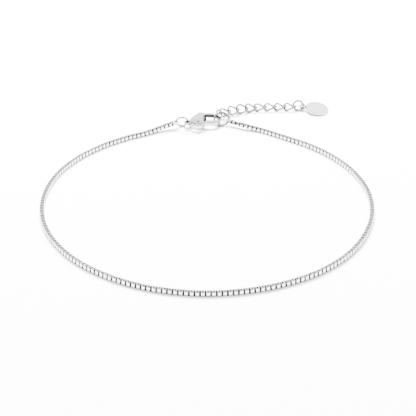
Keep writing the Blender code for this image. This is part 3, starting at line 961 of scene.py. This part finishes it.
# The casting: body, hook and eye fused, with a slot for the lever's lug and a bore for the pin
neck = [(x * EYE_RADIUS - EYE_REACH, y * EYE_RADIUS - EYE_DROP) for x, y in NECK]
outline = (shares([BODY_SHOULDER])
           + eased(shares(BODY_FAR_EDGE), 24)
           + neck
           + eased(shares(BODY_NEAR_EDGE), 20)
           + arc(pivot, PIVOT_BOSS_RADIUS, -44, 25, 16)
           + arc((0, 0), HOOK_INNER * BODY_MOUTH, 190, 122, 20))
body = slab("body form", [outline], CLASP_THICKNESS, CLASP_EDGE,
            (0, 0, CLASP_THICKNESS / 2 - HOOK_LIFT))
crown = solid("crown", "ball", (*shares([DOME_CROWN])[0], -HOOK_LIFT),
              (DOME_REACH, DOME_REACH, CLASP_THICKNESS))
tip_radius = PIVOT_REACH + SEAM / 2
root = HOOK_ROOT * EYE_REACH
outline = ([(-root, HOOK_OUTER)]
           + arc((0, 0), HOOK_OUTER, 90, -86, 60)
           + arc(pivot, tip_radius, lean_angle(PIVOT_DROP - HOOK_OUTER, tip_radius),
                 lean_angle(PIVOT_DROP - HOOK_INNER, tip_radius), 6)
           + arc((0, 0), HOOK_INNER, -80, 90, 54)
           + [(-root, HOOK_INNER)])
hook = slab("hook form", [outline], HOOK_THICKNESS, HOOK_EDGE, (0, 0, 0))
eye_rim = arc((0, 0), EYE_RADIUS, 0, 354, 59)
eye_hole = arc((0, 0), EYE_HOLE_RADIUS, 0, 350, 35)
eye = slab("eye form", [eye_rim, eye_hole], EYE_THICKNESS, EYE_EDGE,
           (-EYE_REACH, -EYE_DROP, EYE_LIFT - HOOK_LIFT))
slot_reach = LUG_RADIUS + 4 * FINE_CLEARANCE
slot_low = pivot[1] - 2 * PIVOT_BOSS_RADIUS
slot_high = pivot[1] + slot_reach
slot_left = pivot[0] - slot_reach
slot_right = pivot[0] + PIVOT_BOSS_RADIUS + LEVER_CLEARANCE
slot = solid("slot form", "block",
             ((slot_left + slot_right) / 2, (slot_low + slot_high) / 2, -LUG_DROP),
             (slot_right - slot_left, slot_high - slot_low,
              LUG_THICKNESS + 2 * FINE_CLEARANCE))
bore_radius = PIN_RADIUS + PIN_CLEARANCE
bore = solid("bore form", "bar", (*pivot, 0), (bore_radius, 3 * CLASP_THICKNESS))
body_steps = [("INTERSECT", crown), ("UNION", hook), ("UNION", eye),
              ("DIFFERENCE", slot), ("DIFFERENCE", bore)]
body_mesh = casting("clasp casting", body, body_steps, BODY_MELT, BODY_POLISH)
clasp_silver = silver("clasp silver", (0.33, 0.33, 0.332), 0.11)
clasp = add_piece("clasp_casting", body_mesh, clasp_silver, ["clasp_body"])
# Painted shade: the hook's inner wall gets a near-black, duller silver that stands in for the
# shade inside the hook's opening
clasp.data.materials.append(silver("painted shade inside the hook", (0.02, 0.02, 0.021), 0.35))
for face in clasp.data.polygons:
    reach = Vector((face.center.x - hook_centre.x, face.center.y - hook_centre.y))
    away = reach.y if reach.x < 0 < reach.y else reach.length
    near = away < HOOK_INNER + SHADE_REACH
    upright = abs(face.normal.z) < SHADE_UPRIGHT
    if near and upright and reach.dot(face.normal.xy) < 0:
        face.material_index = 1

# The lever: gate and thumb tab in one, on a thin lug that lies in the body's slot
gate_low = PIVOT_DROP - HOOK_OUTER
gate_high = PIVOT_DROP - HOOK_INNER
gate_radius = PIVOT_REACH - SEAM / 2
inner_radius = PIVOT_BOSS_RADIUS + LEVER_CLEARANCE
outer = [polar(PIVOT_REACH * share, angle) for angle, share in TAB_OUTER_EDGE]
inner = [polar(PIVOT_REACH * share, angle) for angle, share in TAB_INNER_EDGE]
outline = (arc((0, 0), gate_radius, lean_angle(gate_high, gate_radius),
               lean_angle(gate_low, gate_radius), 6)
           + eased(outer, 40)
           + inner
           + arc((0, 0), inner_radius, -97, lean_angle(gate_high, inner_radius), 24))
lever = slab("lever form", [outline], LEVER_THICKNESS, LEVER_EDGE, (*pivot, 0))
arm_radius = inner_radius + LUG_ARM * LUG_RADIUS
outline = arc((0, 0), LUG_RADIUS, 98, 300, 36) + arc((0, 0), arm_radius, -60, 5, 16)
lug = slab("lug form", [outline], LUG_THICKNESS, FINE_CLEARANCE, (*pivot, -LUG_DROP))
bore = solid("lug bore form", "bar", (*pivot, 0), (bore_radius, CLASP_THICKNESS))
lever_mesh = casting("lever casting", lever, [("UNION", lug), ("DIFFERENCE", bore)],
                     LEVER_MELT, LEVER_POLISH)
add_piece("lever_casting", lever_mesh, clasp_silver, ["clasp_lever"], body="clasp_lever")

# The pin: a plain steel rod, pressed through the body
pin_middle = (pin_low.z + pin_high.z) / 2 - HOOK_LIFT
pin_form = solid("pin form", "bar", (*pivot, pin_middle), (PIN_RADIUS, pin_high.z - pin_low.z))
pin_mesh = pin_form.data
pin_mesh.transform(Matrix.Translation(pin_form.location))
bpy.data.objects.remove(pin_form, do_unlink=True)
pin_steel = silver("pin steel", (0.35, 0.35, 0.36), 0.2)
add_piece("lever_pin", pin_mesh, pin_steel, ["clasp_pin"])
